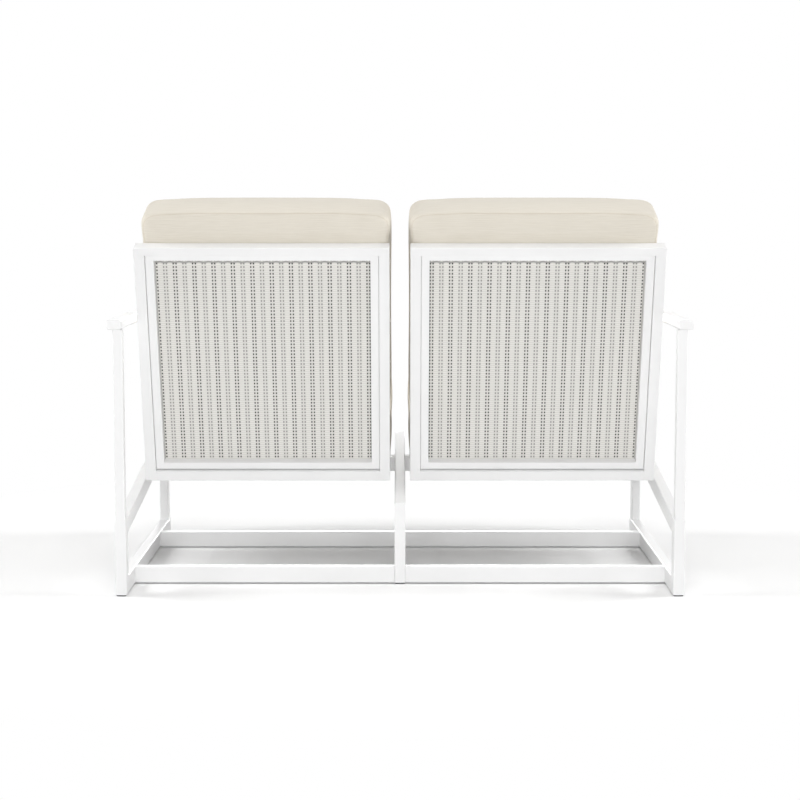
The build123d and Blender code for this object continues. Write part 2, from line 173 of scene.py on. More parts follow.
@dataclass(frozen=True)
class PowderCoat:
    """White polyester powder coat, sprayed on aluminium and baked: a satin skin with a fine orange peel."""

    colour: str = "F1F1F1"
    thin_colour: str = "EEEEEE"
    thin_to: float = 0.35
    full_from: float = 0.65
    cloud_mm: float = 160
    peel_mm: float = 2.2  # the real peel is near 1 mm, drawn coarser so that it shows
    peel_strength: float = 0.12
    peel_depth: float = 0.2 * MM
    roughness: tuple[float, float] = (0.38, 0.5)

    def material(self) -> Material:
        """Make the coat's material.

        Returns:
            The material, which follows the piece's own place.
        """
        material, tree = new_surface("powder_coated_aluminium")
        place = put(tree, "ShaderNodeTexCoord").outputs["Object"]
        cloud, peel = (
            put(tree, "ShaderNodeTexNoise",
                {"Vector": place, "Scale": grain_scale(size), "Detail": detail}).outputs["Fac"]
            for size, detail in ((self.cloud_mm, 3), (self.peel_mm, 2)))
        tint = ramp(put(tree, "ShaderNodeValToRGB", {"Fac": cloud}),
                    (self.thin_to, self.thin_colour), (self.full_from, self.colour))
        gloss = put(tree, "ShaderNodeMapRange",
                    {"Value": cloud, "To Min": self.roughness[0], "To Max": self.roughness[1]})
        bump = put(tree, "ShaderNodeBump",
                   {"Height": peel, "Strength": self.peel_strength, "Distance": self.peel_depth})
        finish_surface(tree, {"Base Color": tint, "Roughness": gloss.outputs[0], "Normal": bump.outputs[0]})
        return material


@dataclass(frozen=True)
class CushionCloth:
    """Solution-dyed acrylic canvas, plain woven with slub yarns in the weft: matt, with fine streaks."""

    name: str = "woven_acrylic_canvas"
    colour: str = "E3DDD1"
    streak_colour: str = "D5CEC0"
    streak_to: float = 0.3
    plain_from: float = 0.62
    yarn_mm: float = 1.4  # the real yarn is near 0.6 mm, drawn coarser so that it shows
    yarn_wander: float = 0.4
    slub_mm: tuple[float, float] = (55, 1.9)  # a slub's length along the weft, and its height
    slub_relief: float = 0.75
    wash_mm: float = 210
    weave_strength: float = 0.35
    weave_depth: float = 0.4 * MM
    roughness: float = 0.92
    specular: float = 0.25
    sheen: float = 0.12
    sheen_roughness: float = 0.5

    def material(self) -> Material:
        """Make the cloth's material.

        Returns:
            The material, which follows the piece's weave map.
        """
        material, tree = new_surface(self.name)
        weave = put(tree, "ShaderNodeUVMap", uv_map="weave").outputs[0]
        along, across = (grain_scale(size) for size in self.slub_mm)
        stretched = put(tree, "ShaderNodeMapping", {"Vector": weave, "Scale": (along, across, 1)})
        slub = put(tree, "ShaderNodeTexNoise", {"Vector": stretched.outputs[0], "Scale": 1, "Detail": 3,
                                                "Roughness": 0.6}).outputs["Fac"]
        wash = put(tree, "ShaderNodeTexNoise",
                   {"Vector": weave, "Scale": grain_scale(self.wash_mm), "Detail": 2}).outputs["Fac"]
        warp, weft = (
            put(tree, "ShaderNodeTexWave",
                {"Vector": weave, "Scale": wave_scale(self.yarn_mm), "Distortion": self.yarn_wander,
                 "Detail Scale": 1}, bands_direction=way).outputs["Fac"]
            for way in ("X", "Y"))
        threads = put(tree, "ShaderNodeMath", {0: warp, 1: weft}, operation="MULTIPLY")
        relief = put(tree, "ShaderNodeMath", {0: slub, 1: self.slub_relief, 2: threads.outputs[0]},
                     operation="MULTIPLY_ADD")
        streaks = ramp(put(tree, "ShaderNodeValToRGB", {"Fac": slub}),
                       (self.streak_to, self.streak_colour), (self.plain_from, self.colour))
        washed = put(tree, "ShaderNodeMix", {0: wash, 6: streaks, 7: linear(self.colour)}, data_type="RGBA")
        bump = put(tree, "ShaderNodeBump", {"Height": relief.outputs[0], "Strength": self.weave_strength,
                                            "Distance": self.weave_depth})
        finish_surface(tree, {"Base Color": washed.outputs[2], "Normal": bump.outputs[0],
                              "Roughness": self.roughness, "Specular IOR Level": self.specular,
                              "Sheen Weight": self.sheen, "Sheen Roughness": self.sheen_roughness})
        return material


@dataclass(frozen=True)
class SlingMesh:
    """Woven vinyl-coated polyester mesh: flat pale bands between pairs of open, dotted columns."""

    band_colour: str = "F3F1EE"
    edge_colour: str = "E2E0DC"
    band_to: float = 0.35
    edge_from: float = 0.7
    # the real openings and the edge line are painted this near black: painted shade of what lies behind the
    # mesh
    shade_colour: str = "100F0C"
    column_mm: float = 22.05
    first_strong_mm: float = 72.3  # from the middle of the bench to the first of the darker columns
    line_shares: tuple[float, float, float, float] = (0.56, 0.66, 0.9, 0.97)
    between_colour: str = "101010"  # how open the mesh is between a column's two lines
    dot_mm: float = 8.2  # the real openings are near 4.6 mm apart, drawn coarser so that they show
    dot_shares: tuple[float, float] = (0.42, 0.58)
    weak_share: float = 0.6  # how open every second column is, beside the darker ones
    yarn_mm: tuple[float, float] = (2.6, 5.2)  # the real yarn is near 0.5 mm, drawn coarser to show
    yarn_colour: str = "D6D4CF"
    edge_shade_mm: tuple[float, float] = (19.5, 22.0)  # from the sheet's side and top edges to the painted shade line where the mesh turns into its frame's groove
    edge_shade_width_mm: tuple[float, float] = (2.4, 4.6)
    edge_shade_scallop_mm: float = 2
    edge_shade_strength: float = 0.5
    hole_relief: float = -2.0
    relief_strength: float = 0.3
    relief_depth: float = 0.4 * MM
    roughness: float = 0.6

    def material(self) -> Material:
        """Make the mesh's material.

        Returns:
            The material, which follows the piece's weave map, measured from the middle of the bench.
        """
        material, tree = new_surface("vinyl_coated_polyester_mesh")
        weave = put(tree, "ShaderNodeUVMap", uv_map="weave").outputs[0]
        placed = put(tree, "ShaderNodeMapping",
                     {"Vector": weave, "Location": (-self.first_strong_mm * MM, 0, 0)}).outputs[0]
        columns, pairs, rows, warp, weft = (
            put(tree, "ShaderNodeTexWave",
                {"Vector": placed, "Scale": wave_scale(size), "Phase Offset": math.pi},
                bands_direction=way).outputs["Fac"]
            for size, way in ((self.column_mm, "X"), (2 * self.column_mm, "X"), (self.dot_mm, "Y"),
                              (self.yarn_mm[0], "X"), (self.yarn_mm[1], "Y")))
        lines = ramp(put(tree, "ShaderNodeValToRGB", {"Fac": columns}),
                     *zip(self.line_shares, (BLACK, WHITE, WHITE, self.between_colour)))
        dots = ramp(put(tree, "ShaderNodeValToRGB", {"Fac": rows}), *zip(self.dot_shares, (BLACK, WHITE)))
        depth = put(tree, "ShaderNodeMapRange", {"Value": pairs, "To Min": self.weak_share})
        dotted = put(tree, "ShaderNodeMath", {0: lines, 1: dots}, operation="MULTIPLY")
        openings = put(tree, "ShaderNodeMath", {0: dotted.outputs[0], 1: depth.outputs[0]},
                       operation="MULTIPLY")
        # the real openings and the painted shade line along the edges, both drawn in the near-black shade
        # colour
        holes_and_edge_shade = put(tree, "ShaderNodeMath", {0: openings.outputs[0], 1: self.edge_shade(tree, columns)},
                    operation="MAXIMUM").outputs[0]
        bands = ramp(put(tree, "ShaderNodeValToRGB", {"Fac": columns}),
                     (self.band_to, self.band_colour), (self.edge_from, self.edge_colour))
        yarns = put(tree, "ShaderNodeMath", {0: warp, 1: weft}, operation="MULTIPLY").outputs[0]
        woven = put(tree, "ShaderNodeMix", {0: yarns, 6: linear(self.yarn_colour), 7: bands},
                    data_type="RGBA")
        open_mesh = put(tree, "ShaderNodeMix", {0: holes_and_edge_shade, 6: woven.outputs[2], 7: linear(self.shade_colour)},
                        data_type="RGBA")
        relief = put(tree, "ShaderNodeMath", {0: holes_and_edge_shade, 1: self.hole_relief, 2: yarns},
                     operation="MULTIPLY_ADD")
        bump = put(tree, "ShaderNodeBump", {"Height": relief.outputs[0], "Strength": self.relief_strength,
                                            "Distance": self.relief_depth})
        finish_surface(tree, {"Base Color": open_mesh.outputs[2], "Normal": bump.outputs[0],
                              "Roughness": self.roughness})
        return material

    def edge_shade(self, tree: NodeTree, columns: NodeSocket) -> NodeSocket:
        """Paint a dark line of shade where the mesh turns into the groove of its frame, scalloped along the
        top.

        Args:
            tree: the material's node tree.
            columns: how near a point is to the middle of a column.

        Returns:
            How dark the painted shade line is at a point.
        """
        edges = put(tree, "ShaderNodeSeparateXYZ",
                    {0: put(tree, "ShaderNodeUVMap", uv_map="edge_shade").outputs[0]})
        drop = put(tree, "ShaderNodeMath",
                   {0: columns, 1: -self.edge_shade_scallop_mm * MM, 2: edges.outputs[1]}, operation="MULTIPLY_ADD")
        side, top = (
            put(tree, "ShaderNodeMath", {0: distance, 1: start * MM, 2: width * MM / 2},
                operation="COMPARE").outputs[0]
            for distance, start, width in zip((edges.outputs[0], drop.outputs[0]), self.edge_shade_mm,
                                              self.edge_shade_width_mm))
        line = put(tree, "ShaderNodeMath", {0: side, 1: top}, operation="MAXIMUM")
        return put(tree, "ShaderNodeMath", {0: line.outputs[0], 1: self.edge_shade_strength},
                   operation="MULTIPLY").outputs[0]


@dataclass(frozen=True)
class MouldedPlastic:
    """Moulded nylon or rubber: one dark colour through, with the fine grain of its mould."""

    name: str
    colour: str
    worn_colour: str
    roughness: float
    plain_to: float = 0.4
    worn_from: float = 0.75
    grain_mm: float = 1.5  # the real grain is near 0.3 mm, drawn coarser so that it shows
    grain_strength: float = 0.25
    grain_depth: float = 0.2 * MM

    def material(self) -> Material:
        """Make the moulded material.

        Returns:
            The material, which follows the piece's own place.
        """
        material, tree = new_surface(self.name)
        place = put(tree, "ShaderNodeTexCoord").outputs["Object"]
        grain = put(tree, "ShaderNodeTexNoise",
                    {"Vector": place, "Scale": grain_scale(self.grain_mm), "Detail": 4}).outputs["Fac"]
        tint = ramp(put(tree, "ShaderNodeValToRGB", {"Fac": grain}),
                    (self.plain_to, self.colour), (self.worn_from, self.worn_colour))
        bump = put(tree, "ShaderNodeBump",
                   {"Height": grain, "Strength": self.grain_strength, "Distance": self.grain_depth})
        finish_surface(tree, {"Base Color": tint, "Roughness": self.roughness, "Normal": bump.outputs[0]})
        return material


@dataclass(frozen=True)
class ZincSteel:
    """Zinc-plated steel fixings: a cool metal with the faint lines of turning and plating."""

    colour: str = "C4C7CA"
    dull_colour: str = "A9ADB1"
    dull_to: float = 0.3
    bright_from: float = 0.7
    line_mm: tuple[float, float, float] = (6, 6, 0.5)  # real turning lines are finer, drawn coarser to show
    line_strength: float = 0.1
    line_depth: float = 0.1 * MM
    roughness: tuple[float, float] = (0.24, 0.42)

    def material(self) -> Material:
        """Make the plated steel's material.

        Returns:
            The material, which follows the piece's own place.
        """
        material, tree = new_surface("zinc_plated_steel")
        place = put(tree, "ShaderNodeTexCoord").outputs["Object"]
        stretched = put(tree, "ShaderNodeMapping",
                        {"Vector": place, "Scale": tuple(grain_scale(size) for size in self.line_mm)})
        lines = put(tree, "ShaderNodeTexNoise",
                    {"Vector": stretched.outputs[0], "Scale": 1, "Detail": 3}).outputs["Fac"]
        tint = ramp(put(tree, "ShaderNodeValToRGB", {"Fac": lines}),
                    (self.dull_to, self.dull_colour), (self.bright_from, self.colour))
        gloss = put(tree, "ShaderNodeMapRange",
                    {"Value": lines, "To Min": self.roughness[0], "To Max": self.roughness[1]})
        bump = put(tree, "ShaderNodeBump",
                   {"Height": lines, "Strength": self.line_strength, "Distance": self.line_depth})
        finish_surface(tree, {"Base Color": tint, "Roughness": gloss.outputs[0], "Metallic": 1.0,
                              "Normal": bump.outputs[0]})
        return material


@dataclass(frozen=True)
class Panel:
    """A leaning flat surface that a sling or a cushion lies on."""

    origin: tuple[float, float, float]
    along: tuple[float, float, float]
    out: tuple[float, float, float]

    @classmethod
    def back(cls, y: float, z: float, tilt: float) -> "Panel":
        """Stand a back on the lower rear edge of its frame.

        Args:
            y: that edge's y in metres.
            z: that edge's z in metres.
            tilt: degrees from upright.

        Returns:
            The panel, which runs upwards and faces the sitter.
        """
        rise, run = math.cos(math.radians(tilt)), math.sin(math.radians(tilt))
        return cls((0, y, z), (0, run, rise), (0, -rise, run))

    @classmethod
    def seat(cls, y: float, z: float, tilt: float) -> "Panel":
        """Lay a seat along its side rails, from their rear ends.

        Args:
            y: the y of the rails' rear ends in metres.
            z: the height of the rails' rear ends in metres.
            tilt: degrees from level.

        Returns:
            The panel, which runs to the front and faces up.
        """
        rise, run = math.cos(math.radians(tilt)), math.sin(math.radians(tilt))
        return cls((0, y, z), (0, -rise, run), (0, run, rise))

    def matrix(self) -> Matrix:
        """The matrix from x, the run along the panel and the height above it to the bench's own frame."""
        columns = Matrix((Vector((1, 0, 0)), Vector(self.along), Vector(self.out))).transposed()
        return Matrix.Translation(self.origin) @ columns.to_4x4()


BACK = Panel.back(y=0.148, z=0.224, tilt=17.1)
SEAT = Panel.seat(y=0.410, z=0.172, tilt=7.24)


def local_box(node: str, panel: Panel) -> tuple[Vector, Vector]:
    """Measure a CAD node along a panel's own directions.

    Args:
        node: the CAD node's name.
        panel: the panel whose directions are used.

    Returns:
        The lowest and the highest corner, as x, run along the panel and height above it.
    """
    turn = panel.matrix().inverted()
    points = [turn @ vertex.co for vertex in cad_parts[node].data.vertices]
    low = Vector(min(point[axis] for point in points) for axis in range(3))
    high = Vector(max(point[axis] for point in points) for axis in range(3))
    return low, high


def add_piece(name: str, mesh: Mesh, material: Material, smooth: bool = True) -> Object:
    """Put a finished mesh in the scene as a piece.

    Args:
        name: the piece's name.
        mesh: its mesh, in the bench's own frame.
        material: its finish.
        smooth: whether its faces are shaded smooth.

    Returns:
        The new object, at the origin.
    """
    mesh.name = name
    mesh.materials.clear()
    mesh.materials.append(material)
    mesh.polygons.foreach_set("use_smooth", [smooth] * len(mesh.polygons))
    piece = bpy.data.objects.new(name, mesh)
    bpy.context.scene.collection.objects.link(piece)
    return piece


def mesh_of(form: BMesh) -> Mesh:
    """Turn a bmesh into a mesh and free it.

    Args:
        form: the bmesh.

    Returns:
        The mesh.
    """
    mesh = bpy.data.meshes.new("form")
    form.to_mesh(mesh)
    form.free()
    return mesh


def settled(shape: Object) -> Mesh:
    """The mesh that an object has with its modifiers or its curve's bevel applied."""
    return bpy.data.meshes.new_from_object(shape.evaluated_get(bpy.context.evaluated_depsgraph_get()))


def mirrored(mesh: Mesh) -> Mesh:
    """Copy a mesh to the other side of the bench, with its faces outwards.

    Args:
        mesh: the left side's mesh.

    Returns:
        The right side's mesh.
    """
    copy = mesh.copy()
    copy.transform(Matrix.Scale(-1, 4, (1, 0, 0)))
    copy.flip_normals()
    return copy


def share_of(value: float) -> float:
    """Keep a share between 0 and 1."""
    return min(1.0, max(0.0, value))


@dataclass
class Sling:
    """A taut panel of mesh, fixed to its frame, with a shallow sag."""

    name: str
    node: str
    panel: Panel
    sag: float
    rests_on: str
    squares: int = 36

    def panel_mesh(self, size: Vector, middle: Vector, top: float) -> Mesh:
        """Make the left panel.

        Args:
            size: the sheet's width, length and thickness.
            middle: the sheet's middle, along its panel.
            top: the run along the panel to the sheet's top edge.

        Returns:
            The panel's mesh, with its weave map and the map of its distances to the edges.
        """
        form = bmesh.new()
        bmesh.ops.create_grid(form, x_segments=self.squares, y_segments=self.squares, size=0.5)
        weave, edge_shade = (form.loops.layers.uv.new(name) for name in ("weave", "edge_shade"))
        for vertex in form.verts:
            across, along, _ = vertex.co
            dip = self.sag * (1 - (2 * across) ** 2) ** 2 * (1 - (2 * along) ** 2) ** 2
            vertex.co = Vector((middle.x + across * size.x, middle.y + along * size.y, middle.z - dip))
        for face in form.faces:
            for loop in face.loops:
                place = loop.vert.co
                loop[weave].uv = place.xy
                # the second map measures the distances from the side and top edges, for the painted shade
                # line along them
                loop[edge_shade].uv = (size.x / 2 - abs(place.x - middle.x), top - place.y)
        bmesh.ops.solidify(form, geom=form.faces[:], thickness=size.z)
        bmesh.ops.transform(form, matrix=self.panel.matrix(), verts=form.verts)
        bmesh.ops.recalc_face_normals(form, faces=form.faces)
        return mesh_of(form)

    def build(self, material: Material) -> None:
        """Make the left panel and its mirrored copy, put each on its side's seat body and hide the CAD sheet
        it replaces.

        Args:
            material: the mesh's finish.
        """
        low, high = local_box(f"{self.node}_left", self.panel)
        size = high - low
        left = self.panel_mesh(size, (low + high) / 2, high.y)
        for side, mesh in ((Side.LEFT, left), (Side.RIGHT, mirrored(left))):
            piece = add_piece(f"{self.name}_{side.value}", mesh, material)
            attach(piece, side.body)
            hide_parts(f"{self.node}_{side.value}")
            log.info("%s: %.0f by %.0f mm", piece.name, size.x / MM, size.y / MM)


@dataclass(frozen=True)
class Filling:
    """How firmly a cushion's filling swells its cover, as a cloth simulation."""

    pressure: float = 4.0
    frames: int = 20
    quality: int = 4
    mass: float = 0.3
    stretch_stiffness: float = 12
    shear_stiffness: float = 6
    bending_stiffness: float = 0.6
    most: float = 24 * MM  # the furthest that a point of the cover may move

    def swell(self, foam: Object, grips: list[float]) -> None:
        """Fill the cover, with its seams held.

        Args:
            foam: the starting form, which takes the swollen shape.
            grips: how firmly each of its points is held, from 0 to 1.
        """
        start = [vertex.co.copy() for vertex in foam.data.vertices]
        seam = foam.vertex_groups.new(name="seam")
        for index, grip in enumerate(grips):
            seam.add([index], grip, "REPLACE")
        cloth = foam.modifiers.new("filling", "CLOTH")
        settings = cloth.settings
        settings.quality = self.quality
        settings.mass = self.mass
        settings.tension_stiffness = settings.compression_stiffness = self.stretch_stiffness
        settings.shear_stiffness = self.shear_stiffness
        settings.bending_stiffness = self.bending_stiffness
        settings.use_pressure = True
        settings.uniform_pressure_force = self.pressure
        settings.vertex_group_mass = "seam"
        settings.effector_weights.gravity = 0
        cloth.point_cache.frame_start = 1
        cloth.point_cache.frame_end = self.frames
        for step in range(1, self.frames + 1):
            bpy.context.scene.frame_set(step)
        foam.data = settled(foam)
        foam.modifiers.clear()
        bpy.context.scene.frame_set(1)
        for vertex, first in zip(foam.data.vertices, start):
            move = vertex.co - first
            if move.length > self.most:
                vertex.co = first + move.normalized() * self.most


@dataclass
class Cushion:
    """A boxed foam cushion in a sewn cover: it starts a little small, and the filling swells it."""

    name: str
    node: str
    panel: Panel
    free_from: float = math.inf  # the run along the panel past which the back of the cover hangs free
    free_swell: float = 0.0  # how far it may swell out there
    free_ramp: float = 25 * MM  # the run along the panel that this takes
    lift: float = 0.0  # how much longer than its solid the foam starts
    top_rise: float = 0.0  # how far the middle of the top edge stands up
    top_droop: float = 0.0  # how far the top edge falls from there to its corners
    droop_power: int = 4  # the higher, the nearer to the corners it falls
    corner_push: float = 0.0  # how far the foam fills the two top corners
    corner_reach: float = 60 * MM
    slack: float = 1 * MM  # how much smaller the foam starts, at each side
    voxel: float = 6.5 * MM
    smoothings: int = 4
    filling: Filling = Filling()
    side_swell: float = 3 * MM
    top_swell: float = 4 * MM
    face_swell: float = 7 * MM
    fill: float = 0.8
    crease: float = 2 * MM
    seam_band: float = 0.22  # how far from 45 degrees the cover still belongs to a seam, as a cosine
    seam_grip: float = 1.5  # the hold on the cover, for each share of a seam
    seam_core: float = 0.5  # the share of a seam from which a point counts as on it
    seam_radius: float = 1.2 * MM
    seam_points: int = 220
    seam_smoothings: int = 3

    def room(self) -> tuple[Vector, Vector]:
        """The lowest and the highest corner of the CAD cushion, along its panel."""
        return local_box(f"{self.node}_left", self.panel)

    def shrink(self) -> Matrix:
        """Work out how the CAD solid becomes the starting form.

        Returns:
            The scaling from its foot, smaller by the slack and longer by the lift, in the bench's own frame.
        """
        low, high = self.room()
        size, foot = high - low, (low + high) / 2
        foot.y = low.y
        scale = Matrix.Diagonal([1 - 2 * self.slack / side for side in size]).to_4x4()
        scale[1][1] += self.lift / size.y
        place = self.panel.matrix()
        return place @ Matrix.Translation(foot) @ scale @ Matrix.Translation(-foot) @ place.inverted()

    def foam(self) -> Object:
        """Make the starting form from the CAD solid, remeshed into even squares.

        Returns:
            The object that the filling swells.
        """
        form = bmesh.new()
        form.from_mesh(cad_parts[f"{self.node}_left"].data)
        bmesh.ops.remove_doubles(form, verts=form.verts, dist=0.01 * MM)
        bmesh.ops.transform(form, matrix=self.shrink(), verts=form.verts)
        foam = bpy.data.objects.new("foam", mesh_of(form))
        bpy.context.scene.collection.objects.link(foam)
        remesh = foam.modifiers.new("squares", "REMESH")
        remesh.mode = "VOXEL"
        remesh.voxel_size = self.voxel
        foam.data = settled(foam)
        foam.modifiers.clear()
        form = bmesh.new()
        form.from_mesh(foam.data)
        self.fill_corners(form)
        for _ in range(self.smoothings):
            bmesh.ops.smooth_vert(form, verts=form.verts, factor=0.5, use_axis_x=True, use_axis_y=True,
                                  use_axis_z=True)
        form.to_mesh(foam.data)
        form.free()
        return foam

    def fill_corners(self, form: BMesh) -> None:
        """Push the foam out into the two top corners of its cover, no further than its own sides.

        Args:
            form: the remeshed foam.
        """
        place = self.panel.matrix()
        turn = place.inverted()
        points = [turn @ vertex.co for vertex in form.verts]
        left, right = min(point.x for point in points), max(point.x for point in points)
        top = max(point.y for point in points)
        middle, half = (left + right) / 2, (right - left) / 2
        for vertex, point in zip(form.verts, points):
            out = abs(point.x - middle)
            beside = share_of(1 - (half - out) / self.corner_reach)
            below = share_of(1 - (top - point.y) / self.corner_reach)
            push = self.corner_push * beside * below
            point.x = middle + math.copysign(min(half, out + push), point.x - middle)
            point.y = min(top, point.y + push)
            vertex.co = place @ point

    def seam_share(self, normal: Vector) -> float:
        """How much a point belongs to the sewn edge between a panel and the boxing.

        Args:
            normal: the point's normal in the bench's own frame.

        Returns:
            From 0, away from the seam, to 1, on it.
        """
        slope = abs(normal.dot(Vector(self.panel.out)))
        return max(0.0, 1 - abs(slope - DIAGONAL) / self.seam_band)

    def hold(self, foam: Object) -> None:
        """Keep the cover off its neighbours, flat on its sling, and crown its top edge.

        Args:
            foam: the swollen form.
        """
        place = self.panel.matrix()
        turn = place.inverted()
        low, high = self.room()
        middle, half = (low + high) / 2, (high - low) / 2
        for vertex in foam.data.vertices:
            point = turn @ vertex.co
            past = share_of((point.y - self.free_from) / self.free_ramp)
            floor = low.z - self.free_swell * past * past * (3 - 2 * past)
            point.x = min(max(point.x, low.x - self.side_swell), high.x + self.side_swell)
            point.y = min(max(point.y, low.y), high.y + self.lift + self.top_swell)
            point.z = min(max(point.z, floor), high.z + self.face_swell)
            droop = self.top_droop * abs((point.x - middle.x) / half.x) ** self.droop_power
            point.y += (self.top_rise - droop) * max(0.0, (point.y - middle.y) / half.y) ** 2
            vertex.co = place @ point

    def finish_cover(self, foam: Object) -> Mesh:
        """Smooth the form once, crease it along its seams and give it its weave map.

        Args:
            foam: the swollen form, which is removed.

        Returns:
            The cover's mesh.
        """
        smoother = foam.modifiers.new("smooth", "SUBSURF")
        smoother.levels = smoother.render_levels = 1
        form = bmesh.new()
        form.from_mesh(settled(foam))
        bpy.data.objects.remove(foam)
        form.normal_update()
        pulls = [vertex.normal * self.crease * self.seam_share(vertex.normal) ** 2 for vertex in form.verts]
        for vertex, pull in zip(form.verts, pulls):
            vertex.co -= pull
        form.normal_update()
        self.lay_weave(form)
        return mesh_of(form)

    def lay_weave(self, form: BMesh) -> None:
        """Give the cover its weave map, cut as its panels and its boxing are.

        Args:
            form: the cover.
        """
        turn = self.panel.matrix().inverted()
        tilt = turn.to_3x3()
        weave = form.loops.layers.uv.new("weave")
        for face in form.faces:
            normal = tilt @ face.normal
            if abs(normal.z) > DIAGONAL:
                first, second = 0, 1
            elif abs(normal.y) > abs(normal.x):
                first, second = 0, 2
            else:
                first, second = 1, 2
            for loop in face.loops:
                point = turn @ loop.vert.co
                loop[weave].uv = (point[first], point[second])

    def seam_loop(self, cover: Mesh, sign: int) -> list[Vector]:
        """Follow one sewn edge round the cover.

        Args:
            cover: the cover's mesh.
            sign: 1 for the edge of the upper panel, -1 for the edge of the panel that lies on the sling.

        Returns:
            Points on the cover's surface, in order round the cushion.
        """
        turn = self.panel.matrix().inverted()
        low, high = self.room()
        middle, half = (low + high) / 2, (high - low) / 2
        bins: list[list[Vector]] = [[] for _ in range(self.seam_points)]
        out = Vector(self.panel.out)
        for vertex in cover.vertices:
            if sign * vertex.normal.dot(out) > 0 and self.seam_share(vertex.normal) > self.seam_core:
                point = turn @ vertex.co - middle
                angle = math.atan2(point.y / half.y, point.x / half.x) / math.tau
                bins[int(angle * self.seam_points) % self.seam_points].append(vertex.co.copy())
        loop = [sum(points, Vector()) / len(points) for points in bins if points]
        tree = BVHTree.FromPolygons([vertex.co for vertex in cover.vertices],
                                    [polygon.vertices[:] for polygon in cover.polygons])
        for _ in range(self.seam_smoothings):
            count = len(loop)
            loop = [(loop[at - 1] + 2 * loop[at] + loop[(at + 1) % count]) / 4 for at in range(count)]
            loop = [tree.find_nearest(point)[0] for point in loop]
        return loop

    def seams(self, cover: Mesh) -> Mesh:
        """Make the two rolled seams where the panels are sewn to the boxing.

        Args:
            cover: the cover's mesh.

        Returns:
            The seams' mesh.
        """
        roll = bpy.data.curves.new("seams", "CURVE")
        roll.dimensions = "3D"
        roll.bevel_depth = self.seam_radius
        roll.bevel_resolution = 1
        for sign in (1, -1):
            loop = self.seam_loop(cover, sign)
            spline = roll.splines.new("POLY")
            spline.points.add(len(loop) - 1)
            spline.use_cyclic_u = True
            for point, place in zip(spline.points, loop):
                point.co = (*place, 1)
        cord = bpy.data.objects.new("seams", roll)
        bpy.context.scene.collection.objects.link(cord)
        form = bmesh.new()
        form.from_mesh(settled(cord))
        bpy.data.objects.remove(cord)
        bmesh.ops.remove_doubles(form, verts=form.verts, dist=0.001 * MM)
        bmesh.ops.recalc_face_normals(form, faces=form.faces)
        weave = form.loops.layers.uv.get("weave") or form.loops.layers.uv.new("weave")
        for face in form.faces:
            for corner in face.loops:
                corner[weave].uv = (corner.vert.co.x, corner.vert.co.z)
        return mesh_of(form)

    def build(self, material: Material, seam_material: Material) -> None:
        """Make the left cushion and its mirrored copy, put each with its seams on its side's seat body and
        hide the CAD cushion it replaces.

        Args:
            material: the cloth's finish.
            seam_material: the finish of the rolled seams, darker than the cover as painted shade along them.
        """
        foam = self.foam()
        self.filling.swell(foam, [min(1.0, self.seam_grip * self.seam_share(vertex.normal))
                                  for vertex in foam.data.vertices])
        self.hold(foam)
        cover = self.finish_cover(foam)
        seams = self.seams(cover)
        for side, skin, edges in ((Side.LEFT, cover, seams), (Side.RIGHT, mirrored(cover), mirrored(seams))):
            piece = add_piece(f"{self.name}_{side.value}", skin, material)
            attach(piece, side.body)
            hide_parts(f"{self.node}_{side.value}")
            rolled = add_piece(f"{self.name}_seams_{side.value}", edges, seam_material)
            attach(rolled, side.body)
            log.info("%s: %d faces", piece.name, len(skin.polygons))


@dataclass
class Finishes:
    """Every finish of the bench, made once."""

    coat: Material
    cloth: Material
    seam: Material
    mesh: Material
    nylon: Material
    steel: Material
    rubber: Material

    @classmethod
    def make(cls) -> "Finishes":
        """Make the seven finishes."""
        return cls(coat=PowderCoat().material(),
                   cloth=CushionCloth().material(),
                   # the seams are a darker tone of the cover's canvas: painted shade along the sewn creases
                   seam=CushionCloth("rolled_canvas_seam_painted_shade", "DCD4C6", "D2C9B9").material(),
                   mesh=SlingMesh().material(),
                   nylon=MouldedPlastic("moulded_nylon", "3A3A3B", "58585A", 0.5).material(),
                   steel=ZincSteel().material(),
                   rubber=MouldedPlastic("moulded_rubber", "242424", "3A3A3A", 0.75).material())

    def of_slot(self, slot: Slot) -> Material:
        """The finish that stands for one of the record's slots."""
        return {Slot.COAT: self.coat, Slot.CLOTH: self.cloth, Slot.MESH: self.mesh, Slot.NYLON: self.nylon,
                Slot.STEEL: self.steel, Slot.RUBBER: self.rubber}[slot]


NODE_SLOTS = {
    "foot_glides": Slot.NYLON,
    "bracket_screws": Slot.STEEL, "rocker_screws": Slot.STEEL,
    "pivot_bolts": Slot.STEEL, "pivot_nuts": Slot.STEEL,
    "rubber_stops": Slot.RUBBER, "pivot_bushes": Slot.RUBBER,
    "seat_cushion": Slot.CLOTH, "back_cushion": Slot.CLOTH,
    "seat_sling": Slot.MESH, "back_sling": Slot.MESH,
}


@dataclass
class Metalwork:
    """The aluminium frames and their fixings, whose CAD shapes stay."""

    finishes: Finishes

    def dress(self) -> None:
        """Give every CAD piece its finish: powder coat, unless its name is among the others."""
        for name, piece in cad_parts.items():
            base = name.removesuffix("_left").removesuffix("_right")
            slot = NODE_SLOTS.get(base, Slot.COAT)
            piece.data.materials.clear()
            piece.data.materials.append(self.finishes.of_slot(slot))
            log.info("%s: %s", name, slot.value)


